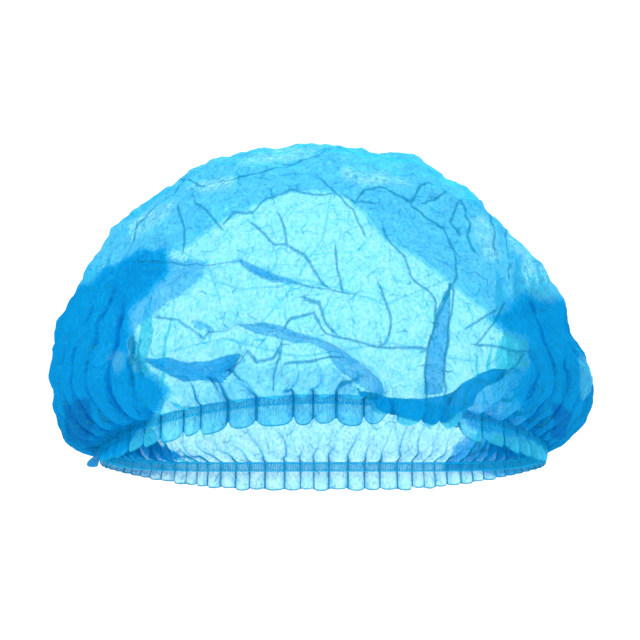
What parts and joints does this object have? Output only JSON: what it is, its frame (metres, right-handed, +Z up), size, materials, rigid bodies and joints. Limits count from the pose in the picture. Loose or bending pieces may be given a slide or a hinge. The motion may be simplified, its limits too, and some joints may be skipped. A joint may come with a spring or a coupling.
{
  "type": "disposable hairnet",
  "caption": "Bouffant cap of thin nonwoven in its worn shape: puffed crown, gathered frill below flat elastic strips, and a fused tab at each end.",
  "frame": {"origin": "middle of the head opening, on the line of the elastic: where the head holds the cap", "axes": "+X across the cap towards the viewer's right in the picture, from end tab to end tab; +Y towards the back of the head; +Z up"},
  "size_m": [0.2702, 0.2185, 0.175],
  "materials": {
    "nonwoven": "light blue spunbond nonwoven, thin enough to see through a little",
    "elastic": "flat elastic sewn over with fine blue thread",
    "fused_end": "many plies of nonwoven fused together, stiff and slightly glossy"
  },
  "bodies": {
    "root": {"crown": "nonwoven", "elastic_front": "elastic", "elastic_back": "elastic", "end_tab_right": "fused_end", "end_tab_left": "fused_end"}
  },
  "joints": []
}
